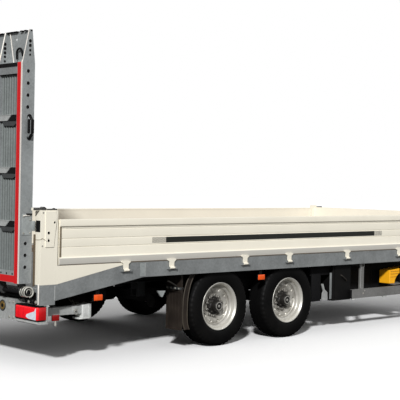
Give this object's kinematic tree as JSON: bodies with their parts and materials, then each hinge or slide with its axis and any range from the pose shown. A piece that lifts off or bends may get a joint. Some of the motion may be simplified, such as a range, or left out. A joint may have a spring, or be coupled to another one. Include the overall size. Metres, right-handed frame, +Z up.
{
  "type": "truck trailer",
  "caption": "Tandem-axle low-bed truck trailer with sloping tail, folding loading ramps, hinged dropsides, V drawbar with towing eye and parking jack.",
  "frame": {"origin": "on the ground, under the middle of the trailer's length and width", "axes": "+X forward to the towing eye, +Y to the left side, +Z up"},
  "size_m": [8.51, 2.604, 2.855],
  "materials": {
    "galvanised": "weathered hot-dip galvanised steel",
    "cream_paint": "cream gloss paint",
    "deck_wood": "oiled hardwood planks",
    "tyre": "black rubber",
    "rim_paint": "pale silver wheel paint",
    "hub_steel": "dark greasy cast steel",
    "black_steel": "black paint",
    "red_lens": "red lamp lens",
    "orange_lens": "orange lamp lens",
    "chock_yellow": "yellow plastic",
    "flap_rubber": "brownish black rubber"
  },
  "bodies": {
    "chassis": {"chassis_frame": "galvanised", "side_rail_R": "galvanised", "side_rail_L": "galvanised", "deck_flat": "deck_wood", "deck_tail": "galvanised", "rear_beam": "galvanised", "ramp_hinge_beam": "galvanised", "rear_lamp_R": "red_lens", "rear_lamp_L": "red_lens", "corner_post_R": "cream_paint", "corner_post_L": "cream_paint", "tail_side_R": "cream_paint", "tail_side_L": "cream_paint", "headboard": "cream_paint", "drawbar": "galvanised", "towing_eye": "black_steel", "jack_tube": "galvanised", "jack_leg": "galvanised", "axle_rear": "black_steel", "axle_front": "black_steel", "leaf_spring_rear_R": "black_steel", "leaf_spring_rear_L": "black_steel", "leaf_spring_front_R": "black_steel", "leaf_spring_front_L": "black_steel", "side_guard_R": "galvanised", "side_guard_L": "galvanised", "wheel_chock_R": "chock_yellow", "wheel_chock_L": "chock_yellow", "mudflap_R": "flap_rubber", "mudflap_L": "flap_rubber", "support_leg_R": "galvanised", "support_leg_L": "galvanised", "side_marker_rear_R": "orange_lens", "side_marker_rear_L": "orange_lens", "side_marker_middle_R": "orange_lens", "side_marker_middle_L": "orange_lens", "ramp_spring_R": "galvanised", "ramp_spring_L": "galvanised", "equipment_box": "black_steel", "air_tank": "black_steel"},
    "wheel_rear_R": {"tyre_rear_R": "tyre", "rim_rear_R": "rim_paint", "hub_rear_R": "hub_steel"},
    "wheel_rear_L": {"tyre_rear_L": "tyre", "rim_rear_L": "rim_paint", "hub_rear_L": "hub_steel"},
    "wheel_front_R": {"tyre_front_R": "tyre", "rim_front_R": "rim_paint", "hub_front_R": "hub_steel"},
    "wheel_front_L": {"tyre_front_L": "tyre", "rim_front_L": "rim_paint", "hub_front_L": "hub_steel"},
    "ramp_R": {"ramp_R": "galvanised"},
    "ramp_L": {"ramp_L": "galvanised"},
    "dropside_R": {"dropside_R": "cream_paint"},
    "dropside_L": {"dropside_L": "cream_paint"}
  },
  "joints": [
    {"name": "wheel_rear_R_spin", "type": "hinge", "parent": "chassis", "child": "wheel_rear_R", "pos_m": [-1.9, -1.105, 0.39], "axis": [0, 1, 0], "continuous": true},
    {"name": "wheel_rear_L_spin", "type": "hinge", "parent": "chassis", "child": "wheel_rear_L", "pos_m": [-1.9, 1.105, 0.39], "axis": [0, 1, 0], "continuous": true},
    {"name": "wheel_front_R_spin", "type": "hinge", "parent": "chassis", "child": "wheel_front_R", "pos_m": [-0.9, -1.105, 0.39], "axis": [0, 1, 0], "continuous": true},
    {"name": "wheel_front_L_spin", "type": "hinge", "parent": "chassis", "child": "wheel_front_L", "pos_m": [-0.9, 1.105, 0.39], "axis": [0, 1, 0], "continuous": true},
    {"name": "ramp_R_fold", "type": "hinge", "parent": "chassis", "child": "ramp_R", "pos_m": [-4.157, -1.2, 0.649], "axis": [0, -1, 0], "range_deg": [0, 105]},
    {"name": "ramp_L_fold", "type": "hinge", "parent": "chassis", "child": "ramp_L", "pos_m": [-4.157, 1.2, 0.649], "axis": [0, -1, 0], "range_deg": [0, 105]},
    {"name": "dropside_R_fold", "type": "hinge", "parent": "chassis", "child": "dropside_R", "pos_m": [-1.9, -1.29, 0.805], "axis": [1, 0, 0], "range_deg": [0, 175]},
    {"name": "dropside_L_fold", "type": "hinge", "parent": "chassis", "child": "dropside_L", "pos_m": [-1.9, 1.29, 0.805], "axis": [-1, 0, 0], "range_deg": [0, 175]}
  ]
}
